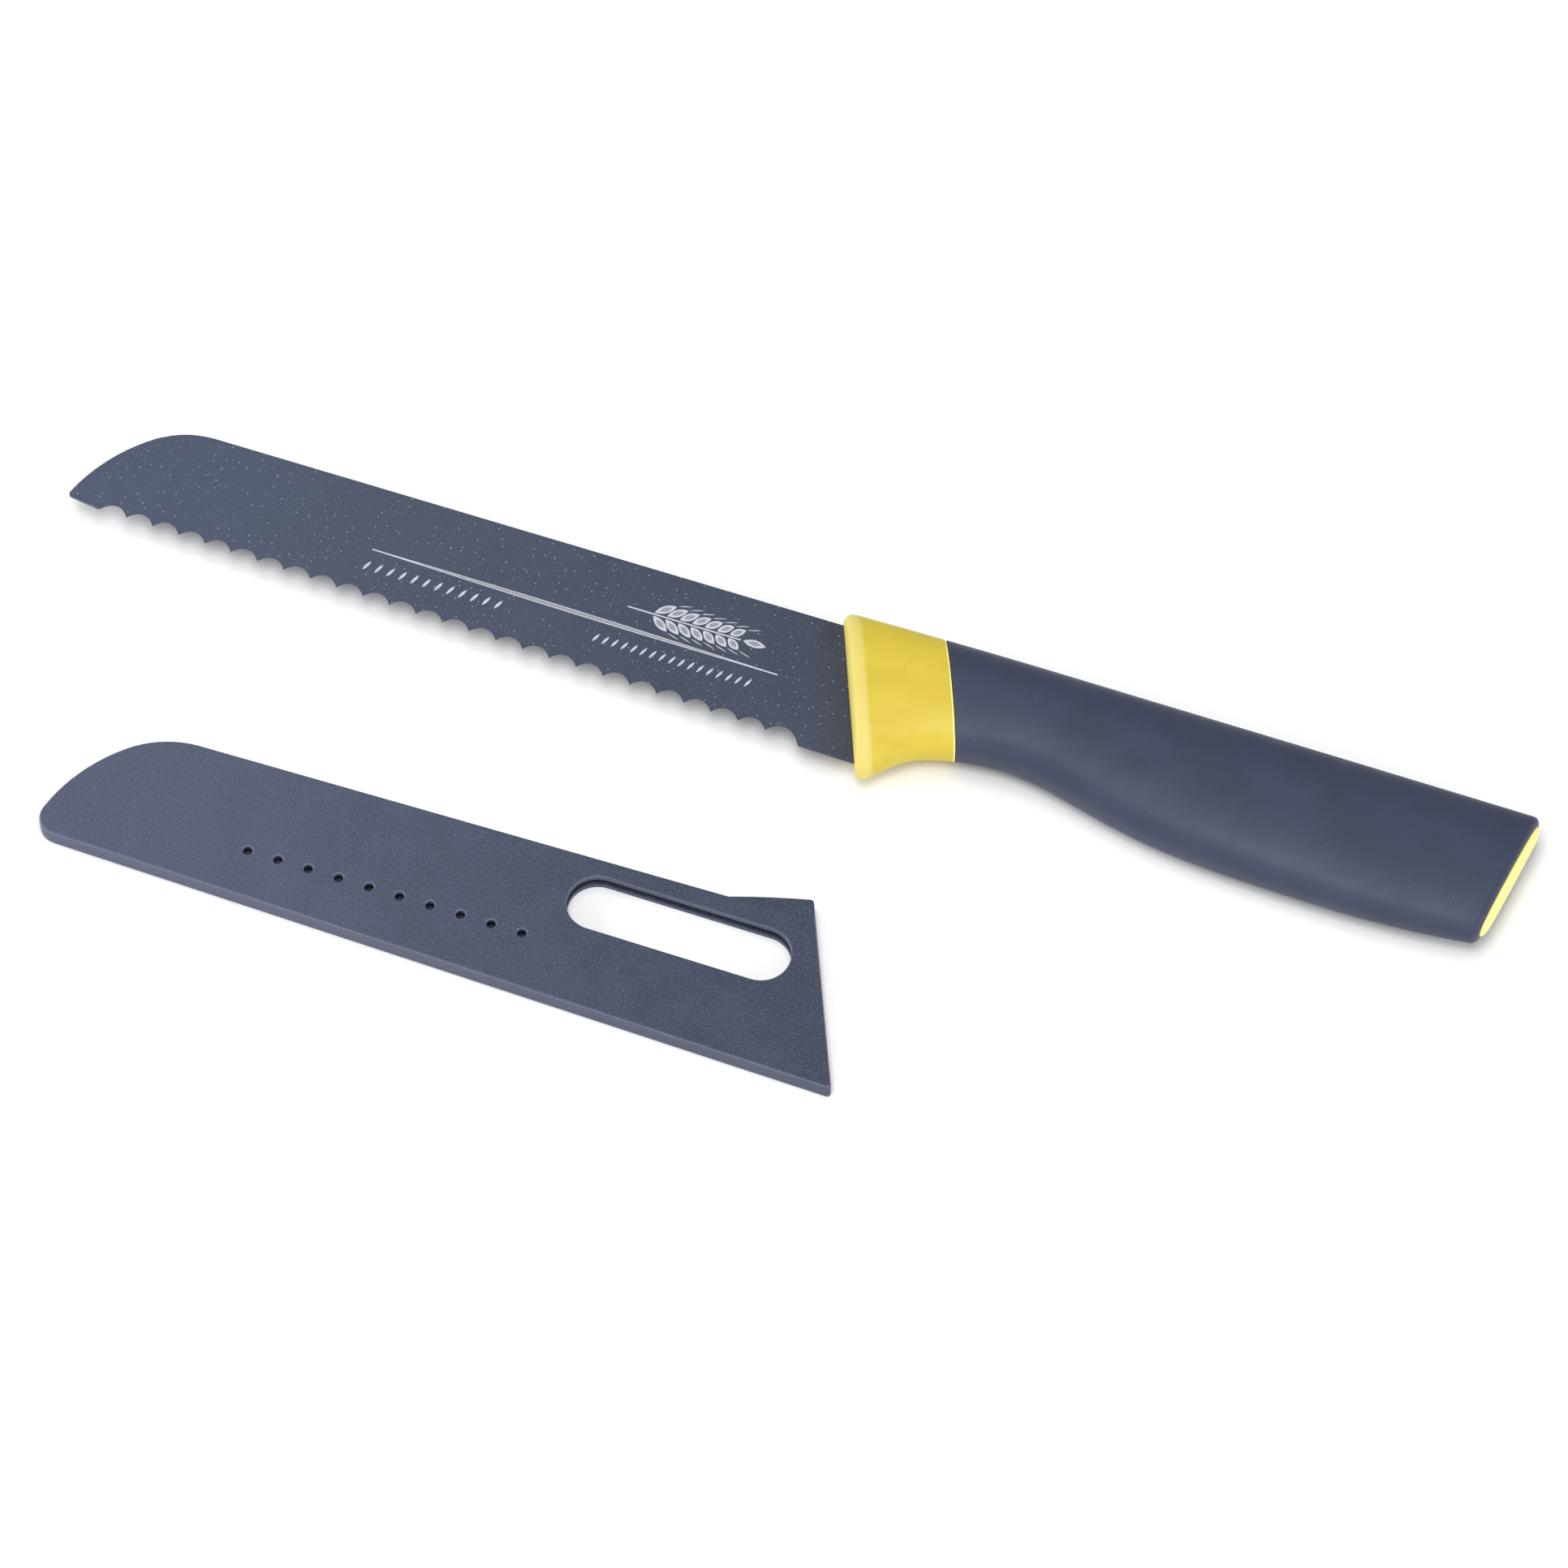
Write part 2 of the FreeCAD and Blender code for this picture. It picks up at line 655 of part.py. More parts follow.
blade_form = make_blade()
core_form, grip_form = make_handle(blade_form)
PARTS = [finished("blade", blade_form), finished("handle_core", core_form),
         finished("grip", grip_form), *make_guard()]
doc.recompute()
centre_on_origin(PARTS)

for thing in doc.Objects:
    if "Invalid" in thing.State or "Error" in thing.State:
        raise RuntimeError("%s did not rebuild: %s" % (thing.Name, thing.State))
os.makedirs("parts", exist_ok=True)
for part in PARTS:
    part.Label = part.Name
    if part.Shape.isNull() or not part.Shape.isValid():
        raise RuntimeError("%s has no valid shape" % part.Label)
    part.Shape.exportStep("parts/%s.step" % part.Label)
    box = part.Shape.optimalBoundingBox()
    print("%-18s %9.1f mm3  x %.2f..%.2f  y %.2f..%.2f  z %.2f..%.2f" % (
        part.Label, part.Shape.Volume, box.XMin, box.XMax, box.YMin, box.YMax, box.ZMin, box.ZMax))
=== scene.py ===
"""Looks for the serrated bread knife and its blade guard, on a pale studio floor."""
import math

import bmesh
import bpy
import numpy as np
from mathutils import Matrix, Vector


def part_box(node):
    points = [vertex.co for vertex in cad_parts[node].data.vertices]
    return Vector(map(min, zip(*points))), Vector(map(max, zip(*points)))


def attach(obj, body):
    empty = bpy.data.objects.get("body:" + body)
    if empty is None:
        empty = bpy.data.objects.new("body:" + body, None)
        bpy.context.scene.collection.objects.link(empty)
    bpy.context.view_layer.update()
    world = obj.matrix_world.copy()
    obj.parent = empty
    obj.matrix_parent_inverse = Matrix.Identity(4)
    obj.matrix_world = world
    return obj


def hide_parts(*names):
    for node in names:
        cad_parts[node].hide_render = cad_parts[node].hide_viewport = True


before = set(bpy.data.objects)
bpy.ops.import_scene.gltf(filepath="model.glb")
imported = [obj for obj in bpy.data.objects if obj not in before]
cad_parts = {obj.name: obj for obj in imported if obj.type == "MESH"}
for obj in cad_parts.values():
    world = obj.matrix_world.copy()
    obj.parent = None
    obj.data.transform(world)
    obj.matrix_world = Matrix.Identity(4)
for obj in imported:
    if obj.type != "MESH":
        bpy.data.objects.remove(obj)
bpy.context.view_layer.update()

MM = 0.001

# The knife's own plan, in millimetres: x runs from near the blade's tip to the butt,
# y = 0 is the straight back of the blade with the teeth at -y, z = 0 is mid-blade.
TANG_END = 298.5           # x of the tang's round end, which is as far as the blade goes
BLADE_THICK = 1.7
EDGE_THICK = 0.5
HEEL_DEPTH = 34.5          # from the back of the blade to its teeth, beside the collar
BLADE_ROOT = 34.9          # depth of the blade where it enters the collar
BACK_ROUND = 0.35
GRIND_SLOPE = (BLADE_THICK - EDGE_THICK) / 2 / (HEEL_DEPTH - BACK_ROUND)
COLLAR_FRONT = 185.2       # x of the collar's front at the back of the blade
COLLAR_LEAN = 23.0         # degrees
BLADE_LOW, BLADE_HIGH = (Vector(corner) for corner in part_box("blade"))
PLAN = Vector((BLADE_HIGH.x - TANG_END * MM, BLADE_HIGH.y, (BLADE_LOW.z + BLADE_HIGH.z) / 2))


def knife(x, y, z=0.0):
    """A point of the knife's plan in the object's frame."""
    return PLAN + Vector((x, y, z)) * MM


# ---------------------------------------------------------------- camera, floor and light

VIEW_AZIMUTH = math.radians(19.6)
VIEW_ELEVATION = math.radians(58.0)
VIEW_DISTANCE = 1.501      # metres
VIEW_LENS = 149.0          # millimetres, as is the sensor
SENSOR_WIDTH = 36.0
VIEW_AIM = Vector((0.0078, 0.0156, 0.0))
FLOOR_HALF = 3.0           # metres
WORLD_STRENGTH = 0.35
# Each light's place and size in metres, and its power in watts.
LIGHTS = {
    "key": ((0.08, -0.35, 1.12), (0.50, 0.45), 6.5),
    "top": ((-0.10, 0.16, 1.15), (0.60, 0.50), 3.2),
    "front": ((0.10, -1.10, 0.45), (1.6, 0.5), 4.6),
    "left": ((-1.10, -0.10, 0.40), (0.5, 0.4), 6.0),
    "right": ((1.10, -0.20, 0.35), (0.5, 0.4), 4.0),
}


def make_camera():
    """A long lens that looks down at the object's middle from the front and the right."""
    data = bpy.data.cameras.new("camera")
    data.lens = VIEW_LENS
    data.sensor_width = SENSOR_WIDTH
    camera = bpy.data.objects.new("camera", data)
    bpy.context.scene.collection.objects.link(camera)
    back = Vector((math.sin(VIEW_AZIMUTH) * math.cos(VIEW_ELEVATION),
                   -math.cos(VIEW_AZIMUTH) * math.cos(VIEW_ELEVATION),
                   math.sin(VIEW_ELEVATION)))
    camera.location = VIEW_AIM + back * VIEW_DISTANCE
    camera.rotation_euler = (-back).to_track_quat("-Z", "Y").to_euler()
    bpy.context.scene.camera = camera


def area_light(name, location, size, watts):
    """A soft rectangular light aimed at the middle of the object."""
    data = bpy.data.lights.new(name, "AREA")
    data.shape = "RECTANGLE"
    data.size, data.size_y = size
    data.energy = watts
    light = bpy.data.objects.new(name, data)
    light.location = location
    light.rotation_euler = (-Vector(location)).to_track_quat("-Z", "Y").to_euler()
    bpy.context.scene.collection.objects.link(light)


def make_studio():
    """The white floor, a pale even sky and the soft lights."""
    mesh = bpy.data.meshes.new("floor")
    half = FLOOR_HALF
    mesh.from_pydata([(-half, -half, 0), (half, -half, 0), (half, half, 0), (-half, half, 0)],
                     [], [(0, 1, 2, 3)])
    floor = bpy.data.objects.new("floor", mesh)
    bpy.context.scene.collection.objects.link(floor)
    floor.data.materials.append(floor_paper())
    world = bpy.data.worlds.new("studio")
    world.use_nodes = True
    background = world.node_tree.nodes["Background"]
    background.inputs["Color"].default_value = (1.0, 1.0, 1.0, 1.0)
    background.inputs["Strength"].default_value = WORLD_STRENGTH
    bpy.context.scene.world = world
    for name, (location, size, watts) in LIGHTS.items():
        area_light(name, location, size, watts)
    bpy.context.scene.view_settings.view_transform = "Standard"


# ---------------------------------------------------------------- materials

# Millimetres.
COLLAR_SHADE = 11.0        # painted shade, darker and more neutral, reaches this far in front of the collar
BACK_SHADE_REACH = 1.0            # painted shade darkens the rounded edge along its back within this distance
RIM_PALE, RIM_END = 3.6, 5.0    # painted light makes the collar palest up to here, and yellow from here on
HIGHLIGHT_START, HIGHLIGHT_END = 0.42, 0.32     # in front of the seam, where the painted highlight begins

def tint(red, green, blue):
    """A colour from its everyday 0 to 255 values."""
    return tuple((v / 12.92 if v <= 0.04045 else ((v + 0.055) / 1.055) ** 2.4)
                 for v in (red / 255, green / 255, blue / 255)) + (1.0,)


class Recipe:
    """The nodes of one material. An input is given a value or another node's output."""

    def __init__(self, name, roughness, **constants):
        self.material = bpy.data.materials.new(name)
        self.material.use_nodes = True
        self.tree = self.material.node_tree
        self.shader = self.tree.nodes["Principled BSDF"]
        self.feed(self.shader, {"Roughness": roughness, **constants})
        coordinates = self.tree.nodes.new("ShaderNodeTexCoord")
        self.place, self.facing = coordinates.outputs["Object"], coordinates.outputs["Normal"]

    def feed(self, node, inputs):
        for name, value in inputs.items():
            if isinstance(value, bpy.types.NodeSocket):
                self.tree.links.new(value, node.inputs[name])
            else:
                node.inputs[name].default_value = value

    def add(self, kind, inputs, **settings):
        node = self.tree.nodes.new("ShaderNode" + kind)
        for name, value in settings.items():
            setattr(node, name, value)
        self.feed(node, inputs)
        return node

    def sum(self, operation, first, second=0.0):
        return self.add("Math", {0: first, 1: second}, operation=operation).outputs[0]

    def span(self, value, low, high, to_low=0.0, to_high=1.0):
        """A value's place between two limits, eased at both ends."""
        return self.add("MapRange", {"Value": value, "From Min": low, "From Max": high,
                                     "To Min": to_low, "To Max": to_high},
                        interpolation_type="SMOOTHSTEP").outputs[0]

    def noise(self, grain_mm, detail=2.0, stretch=(1.0, 1.0, 1.0)):
        """Noise from 0 to 1 whose features are about grain_mm across."""
        where = self.add("Mapping", {"Vector": self.place, "Scale": stretch}).outputs[0]
        return self.add("TexNoise", {"Vector": where, "Scale": 1 / (grain_mm * MM),
                                     "Detail": detail}).outputs["Fac"]

    def specks(self, spacing_mm, radius, share):
        """Small round specks: one in each cell, in a share of the cells."""
        cells = self.add("TexVoronoi", {"Vector": self.place, "Scale": 1 / (spacing_mm * MM)},
                         voronoi_dimensions="2D")
        chosen = self.sum("LESS_THAN", self.add(
            "SeparateColor", {"Color": cells.outputs["Color"]}).outputs["Red"], share)
        dots = self.span(cells.outputs["Distance"], radius * 0.5, radius, 1.0, 0.0)
        return self.sum("MULTIPLY", dots, chosen)

    def mix(self, share, first, second):
        """The first colour, with a share of the second in it."""
        return self.add("Mix", {"Factor": share, 6: first, 7: second},
                        data_type="RGBA").outputs[2]

    def along(self, axis):
        """How far a point lies along one axis of the object's frame, in metres."""
        return self.add("SeparateXYZ", {"Vector": self.place}).outputs[axis]

    def bump(self, height, depth_mm, under=None):
        """A relief of the given depth, on top of another relief if there is one under it."""
        inputs = {"Height": height, "Distance": depth_mm * MM, "Strength": 1.0}
        if under is not None:
            inputs["Normal"] = under
        return self.add("Bump", inputs).outputs[0]

    def finish(self, **inputs):
        """Connect the shader's inputs, whose names have _ for a space."""
        self.feed(self.shader, {name.replace("_", " "): value for name, value in inputs.items()})
        return self.material


def floor_paper():
    """Plain white studio paper with a barely visible tooth."""
    recipe = Recipe("floor_paper", 0.9, **{"Specular IOR Level": 0.1})
    colour = recipe.mix(recipe.noise(0.6), (0.90, 0.90, 0.905, 1), (0.93, 0.93, 0.935, 1))
    return recipe.finish(Base_Color=colour)


def levelness(recipe):
    """1 on level faces and 0 on upright ones."""
    return recipe.sum("ABSOLUTE", recipe.add(
        "SeparateXYZ", {"Vector": recipe.facing}).outputs["Z"])


def edge_light(recipe):
    """1 on edges rounded between a level face and an upright one, and 0 on both faces."""
    level = levelness(recipe)
    return recipe.sum("MULTIPLY", recipe.span(level, 0.10, 0.45),
                      recipe.span(level, 0.80, 0.97, 1.0, 0.0))


def behind_collar_front(recipe):
    """How far, in metres along X, a point lies behind the leaning front of the collar."""
    lean = math.tan(math.radians(COLLAR_LEAN))
    front = knife(COLLAR_FRONT, 0)
    reach = recipe.sum("ADD", recipe.along("X"),
                       recipe.sum("MULTIPLY", recipe.along("Y"), lean))
    return recipe.sum("SUBTRACT", reach, front.x + front.y * lean)


def blade_coating():
    """Satin non-stick coating: fine orange peel, sparse bright flecks, painted shade towards the
    heel, a darker, more neutral painted shade by the collar and painted shade on the rounded back."""
    recipe = Recipe("blade_coating", 0.42, **{"Specular IOR Level": 0.36})
    x, y = recipe.along("X"), recipe.along("Y")
    # Painted shade: the coating darkens from the tip towards the heel.
    heel_shade = recipe.span(x, BLADE_LOW.x, knife(COLLAR_FRONT, 0).x)
    colour = recipe.mix(heel_shade, tint(66, 74, 93), tint(50, 58, 75))
    # Painted shade, darker and more neutral, close to the collar.
    shade = recipe.span(behind_collar_front(recipe), -COLLAR_SHADE * MM, -1.0 * MM)
    colour = recipe.mix(recipe.sum("MULTIPLY", shade, 0.7), colour, tint(42, 45, 48))
    cloud = recipe.span(recipe.noise(16, 3.0), 0.3, 0.7)
    colour = recipe.mix(recipe.sum("MULTIPLY", cloud, 0.10), colour, tint(80, 88, 108))
    grain = recipe.noise(0.22, 3.0)
    colour = recipe.mix(recipe.span(grain, 0.35, 0.75, 0.0, 0.20), colour, tint(84, 92, 112))
    flecks = recipe.sum("MAXIMUM", recipe.specks(2.7, 0.05, 0.40),
                        recipe.sum("MULTIPLY", recipe.specks(1.1, 0.10, 0.25), 0.45))
    colour = recipe.mix(recipe.sum("MULTIPLY", flecks, 0.9), colour, tint(206, 212, 228))
    # Painted shade along the rounded edge of the blade's back.
    near_back = recipe.span(y, BLADE_HIGH.y - BACK_SHADE_REACH * MM, BLADE_HIGH.y - BACK_SHADE_REACH / 2 * MM)
    back = recipe.sum("MULTIPLY", edge_light(recipe), near_back)
    colour = recipe.mix(recipe.sum("MULTIPLY", back, 0.8), colour, tint(24, 26, 32))
    rough = recipe.sum("SUBTRACT", recipe.span(grain, 0.3, 0.7, 0.38, 0.46),
                       recipe.sum("MULTIPLY", flecks, 0.15))
    peel = recipe.bump(recipe.noise(0.9, 1.0), 0.006)
    return recipe.finish(Base_Color=colour, Roughness=rough,
                         Normal=recipe.bump(grain, 0.004, under=peel))


def guard_plastic():
    """Matt moulded plastic with a spark-eroded grain, painted light on its sides and a painted
    highlight on its polished edges.
    """
    recipe = Recipe("guard_plastic", 0.5, **{"Specular IOR Level": 0.36})
    low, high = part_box("guard_upper_shell")
    mouth = recipe.span(recipe.along("X"), low[0], high[0])
    colour = recipe.mix(mouth, tint(69, 76, 96), tint(41, 50, 69))
    cloud = recipe.span(recipe.noise(9, 3.0), 0.3, 0.7)
    colour = recipe.mix(recipe.sum("MULTIPLY", cloud, 0.12), colour, tint(92, 98, 122))
    grain = recipe.noise(0.42, 4.0)
    colour = recipe.mix(recipe.span(grain, 0.50, 0.72, 0.0, 0.50), colour, tint(108, 114, 134))
    colour = recipe.mix(recipe.span(grain, 0.48, 0.28, 0.0, 0.40), colour, tint(44, 50, 68))
    # Painted light: the upright sides are paler than the top.
    side = recipe.span(levelness(recipe), 0.10, 0.20, 0.35, 0.0)
    colour = recipe.mix(side, colour, tint(92, 98, 118))
    # Painted highlight on the rounded edges, which are also made smoother.
    edge = edge_light(recipe)
    colour = recipe.mix(recipe.sum("MULTIPLY", edge, 0.35), colour, tint(128, 130, 156))
    rough = recipe.sum("SUBTRACT", recipe.span(grain, 0.3, 0.7, 0.48, 0.60),
                       recipe.sum("MULTIPLY", edge, 0.14))
    return recipe.finish(Base_Color=colour, Roughness=rough, Normal=recipe.bump(grain, 0.035))


def grip_rubber():
    """Soft-touch overmould: velvety, very finely grained, slightly cloudy, a little dust."""
    recipe = Recipe("grip_rubber", 0.5, **{"Specular IOR Level": 0.36, "Sheen Weight": 0.05,
                                            "Sheen Roughness": 0.4})
    cloud = recipe.span(recipe.noise(12, 3.0), 0.3, 0.7)
    colour = recipe.mix(cloud, tint(45, 53, 73), tint(50, 58, 79))
    grain = recipe.noise(0.16, 2.0)
    colour = recipe.mix(recipe.span(grain, 0.4, 0.8, 0.0, 0.18), colour, tint(78, 86, 107))
    dust = recipe.specks(3.4, 0.035, 0.10)
    colour = recipe.mix(recipe.sum("MULTIPLY", dust, 0.4), colour, tint(150, 156, 172))
    rough = recipe.span(recipe.noise(5, 3.0), 0.3, 0.7, 0.49, 0.53)
    return recipe.finish(Base_Color=colour, Roughness=rough, Normal=recipe.bump(grain, 0.008))


def core_plastic():
    """Satin yellow plastic with faint flow marks, a paler band of painted light along the thin
    front rim of the collar, and a painted highlight along the seam."""
    recipe = Recipe("core_plastic", 0.45, **{"Specular IOR Level": 0.4, "Subsurface Weight": 0.12,
                                             "Subsurface Radius": (1.0, 0.7, 0.2),
                                             "Subsurface Scale": 0.0012})
    flow = recipe.span(recipe.noise(7, 3.0, (0.5, 1.0, 1.0)), 0.3, 0.7)
    colour = recipe.mix(flow, tint(200, 177, 48), tint(206, 184, 58))
    grain = recipe.noise(0.2, 2.0)
    colour = recipe.mix(recipe.span(grain, 0.45, 0.8, 0.0, 0.16), colour, tint(250, 232, 130))
    # Painted light on the rounded front rim of the collar.
    rim = recipe.span(behind_collar_front(recipe), RIM_PALE * MM, RIM_END * MM, 0.85, 0.0)
    colour = recipe.mix(rim, colour, tint(218, 202, 112))
    # Painted highlight along the collar's edge at the seam.
    middle = knife(*SEAM_CENTRE)
    flat = recipe.add("CombineXYZ", {"X": recipe.along("X"), "Y": recipe.along("Y")}).outputs[0]
    reach = recipe.add("VectorMath", {0: flat, 1: (middle.x, middle.y, 0)},
                       operation="DISTANCE").outputs["Value"]
    line = recipe.span(reach, (SEAM_RADIUS - HIGHLIGHT_START) * MM, (SEAM_RADIUS - HIGHLIGHT_END) * MM)
    colour = recipe.mix(recipe.sum("MULTIPLY", line, 0.8), colour, tint(255, 245, 160))
    rough = recipe.span(recipe.noise(3, 3.0), 0.3, 0.7, 0.44, 0.50)
    return recipe.finish(Base_Color=colour, Roughness=rough, Normal=recipe.bump(grain, 0.004))


def silver_print():
    """Pale silver screen print, slightly uneven in its cover."""
    recipe = Recipe("silver_print", 0.4, **{"Metallic": 0.15, "Specular IOR Level": 0.5})
    cover = recipe.noise(0.35, 3.0)
    return recipe.finish(Base_Color=recipe.mix(recipe.span(cover, 0.3, 0.7), tint(176, 179, 190),
                                               tint(205, 208, 218)),
                         Normal=recipe.bump(cover, 0.004))


def grey_print():
    """The greyer, more open print inside the long band and the grains of wheat."""
    recipe = Recipe("grey_print", 0.45, **{"Metallic": 0.15, "Specular IOR Level": 0.5})
    cover = recipe.noise(0.3, 3.0)
    return recipe.finish(Base_Color=recipe.mix(recipe.span(cover, 0.3, 0.7), tint(128, 131, 143),
                                               tint(150, 153, 165)),
                         Normal=recipe.bump(cover, 0.004))


# ---------------------------------------------------------------- mesh helpers

SHARP_ANGLE = math.radians(38)


def finish_piece(name, form, material):
    """Turn a bmesh into a smooth-shaded piece with sharp corners that rides on the knife."""
    bmesh.ops.recalc_face_normals(form, faces=form.faces)
    for edge in form.edges:
        edge.smooth = len(edge.link_faces) == 2 and edge.calc_face_angle(0.0) < SHARP_ANGLE
    for face in form.faces:
        face.smooth = True
    mesh = bpy.data.meshes.new(name)
    form.to_mesh(mesh)
    form.free()
    mesh.materials.append(material)
    piece = bpy.data.objects.new(name, mesh)
    bpy.context.scene.collection.objects.link(piece)
    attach(piece, "knife")
    return piece


def skin(form, rings, closed=False):
    """Quads between neighbouring rings of points; the ends are capped, or joined if closed."""
    loops = [[form.verts.new(point) for point in points] for points in rings]
    count = len(loops[0])
    pairs = list(zip(loops, loops[1:] + loops[:1])) if closed else list(zip(loops, loops[1:]))
    for first, second in pairs:
        for i in range(count):
            j = (i + 1) % count
            form.faces.new((first[i], first[j], second[j], second[i]))
    if not closed:
        form.faces.new(loops[0])
        form.faces.new(loops[-1])


# ---------------------------------------------------------------- handle

HANDLE_TOP = 3.1
HANDLE_BUTT = 353.4
COLLAR_THICKNESS = 14.0
GRIP_THICKNESS = 16.0
BUTT_THICKNESS = 12.0
SECTION_POWER = 2.6
COLLAR_ROUND = 3.4
BUTT_ROUND = 1.7
GRIP_WALL = 2.0
CAP_RISE = 1.2
CAP_ROUND = 3.2
SEAM_RADIUS = 500.0
SEAM_MIDDLE = 215.9
SEAM_DROP = 12.0
SEAM_CENTRE = (SEAM_MIDDLE - SEAM_RADIUS * math.cos(math.radians(COLLAR_LEAN)),
               -SEAM_DROP - SEAM_RADIUS * math.sin(math.radians(COLLAR_LEAN)))
SEAM_EDGE = 0.22           # rounding of both edges at the seam between collar and grip
SEAM_GAP = 0.18            # the fine dark groove left open between them
SLOT_GAP = 0.25            # clear space round the blade where it enters the collar
SLOT_DEPTH = 2.0
SLOT_EDGE = 0.12           # chamfer round that opening
SLOT_POWER = 8             # its outline is nearly a rectangle
HANDLE_LENGTH = HANDLE_BUTT - COLLAR_FRONT

# The underside of the handle: a finger hollow behind the collar, then the belly.
UNDERSIDE = [(201.9, -39.3), (205.6, -34.6), (211.2, -29.0), (219.5, -25.7), (235.5, -24.1),
             (252.0, -27.7), (268.5, -31.6), (298.0, -34.1), (325.0, -34.4), (348.3, -32.4)]

RIM_EDGE, RIM_DEPTH = 0.08, 0.2     # small bevel inside the grip's rim at the butt

# How finely the handle is meshed: columns round it, and rings along each stretch.
COLUMNS = 160
ANGLES = [2 * math.pi * i / COLUMNS for i in range(COLUMNS)]
COLLAR_ROUND_STEPS = 14
COLLAR_STEPS = 34
SEAM_STEPS = 4
BODY_STEPS = 20
CAP_STEPS = 12
GRIP_STEPS = 110
BUTT_ROUND_STEPS = 10
CURVE_STEPS = 2000


def end_slope(times, values):
    """The slope at the first of three points of the parabola through them."""
    first, second = times[1] - times[0], times[2] - times[0]
    rise, run = (values[1] - values[0]) / first, (values[2] - values[0]) / second
    return (rise * second - run * first) / (second - first)


def smooth_curve(points, steps):
    """Points along the smooth cubic curve through the given points."""
    known = np.array(points)
    gaps = np.hypot(*np.diff(known, axis=0).T)
    times = np.concatenate(([0.0], np.cumsum(gaps)))
    count = len(known)
    matrix, right = np.eye(count), np.zeros((count, 2))
    right[0] = end_slope(times[:3], known[:3])
    right[-1] = end_slope(times[:-4:-1], known[:-4:-1])
    for i in range(1, count - 1):
        before, after = gaps[i - 1], gaps[i]
        matrix[i, i - 1:i + 2] = after, 2 * (before + after), before
        right[i] = 3 * (after * (known[i] - known[i - 1]) / before
                        + before * (known[i + 1] - known[i]) / after)
    slopes = np.linalg.solve(matrix, right)
    sampled = []
    for t in np.linspace(0, times[-1], steps):
        i = min(int(np.searchsorted(times, t, side="right")) - 1, count - 2)
        u = (t - times[i]) / gaps[i]
        sampled.append(known[i] * (1 + 2 * u) * (1 - u) ** 2 + known[i + 1] * u * u * (3 - 2 * u)
                       + gaps[i] * (slopes[i] * u * (1 - u) ** 2 - slopes[i + 1] * u * u * (1 - u)))
    return np.array(sampled)


UNDERSIDE_CURVE = smooth_curve(UNDERSIDE, CURVE_STEPS)
UNDERSIDE_REACH = np.concatenate(([0.0], np.cumsum(
    np.hypot(*np.diff(UNDERSIDE_CURVE, axis=0).T))))
UNDERSIDE_REACH /= UNDERSIDE_REACH[-1]


def handle_thickness(f):
    """Thickness from collar to butt: a parabola through three places."""
    return (COLLAR_THICKNESS * (1 - f) * (1 - 2 * f) + GRIP_THICKNESS * 4 * f * (1 - f)
            + BUTT_THICKNESS * f * (2 * f - 1))


def power(value, exponent):
    """A power that keeps the value's sign."""
    return math.copysign(abs(value) ** exponent, value)


def section_frame(fraction):
    """The middle, the direction to the underside and the half depth of the handle's
    cross-section, at a fraction of the way from the leaning collar front to the butt."""
    first = COLLAR_FRONT - HANDLE_TOP * math.tan(math.radians(COLLAR_LEAN))
    top = Vector((first + fraction * (HANDLE_BUTT - first), HANDLE_TOP))
    low = Vector([np.interp(fraction, UNDERSIDE_REACH, UNDERSIDE_CURVE[:, axis])
                  for axis in range(2)])
    across = low - top
    half = across.length / 2
    return (top + low) / 2, across.normalized(), half


def handle_point(angle, fraction, inset=0.0, shift=0.0):
    """A point of the handle's surface, in the knife's plan, moved inwards by an inset and
    squarely towards the butt by a shift."""
    middle, across, half = section_frame(fraction)
    wide = power(math.cos(angle), 2 / SECTION_POWER) * (half - inset)
    thick = power(math.sin(angle), 2 / SECTION_POWER) * (handle_thickness(fraction) / 2 - inset)
    return Vector((middle.x + across.x * wide - across.y * shift,
                   middle.y + across.y * wide + across.x * shift, thick))


def seam_fraction(angle):
    """Where the surface at an angle crosses the curved seam behind the collar, found by
    halving a stretch that holds it."""
    centre = Vector(SEAM_CENTRE)
    low, high = 0.02, 0.5
    for _ in range(30):
        middle = (low + high) / 2
        inside = (handle_point(angle, middle).xy - centre).length < SEAM_RADIUS
        low, high = (middle, high) if inside else (low, middle)
    return (low + high) / 2


def ring(places):
    """A ring of points in the object's frame, one (fraction, inset, shift) for each column."""
    return [knife(*handle_point(angle, *place)) for angle, place in zip(ANGLES, places)]


def even_ring(fraction, inset=0.0, shift=0.0):
    """A ring with the same fraction, inset and shift all round."""
    return ring([(fraction, inset, shift)] * COLUMNS)


def quarter_turns(steps):
    """Evenly spaced angles from 0 to a right angle."""
    return [math.pi / 2 * i / steps for i in range(steps + 1)]


def seam_rings(seam, side, deep):
    """The rounded edge beside the seam and the wall below it; side is -1 for the collar and
    1 for the grip."""
    rings = []
    for turn in quarter_turns(SEAM_STEPS):
        back = SEAM_EDGE * (1 - math.sin(turn)) / HANDLE_LENGTH
        inset = SEAM_EDGE * (1 - math.cos(turn))
        rings.append(ring([(f + side * back, inset, 0.0) for f in seam]))
    rings.append(ring([(f, deep, 0.0) for f in seam]))
    return rings


def blade_slot_ring(depth, gap):
    """The outline of the opening that the blade enters by, at a depth into the collar."""
    lean = math.radians(COLLAR_LEAN)
    half = BLADE_ROOT / 2 / math.cos(lean) + gap
    points = []
    for angle in ANGLES:
        wide = power(math.cos(angle), 2 / SLOT_POWER)
        drop = BLADE_ROOT / 2 + wide * half * math.cos(lean)
        thick = (BLADE_THICK / 2 + gap) * power(math.sin(angle), 2 / SLOT_POWER)
        points.append(knife(COLLAR_FRONT + drop * math.tan(lean) + depth, -drop, thick))
    return points


def between(first, last, steps, inset=0.0):
    """The rings between two rows of fractions, both left out."""
    return [ring([(f + (g - f) * i / steps, inset, 0.0) for f, g in zip(first, last)])
            for i in range(1, steps)]


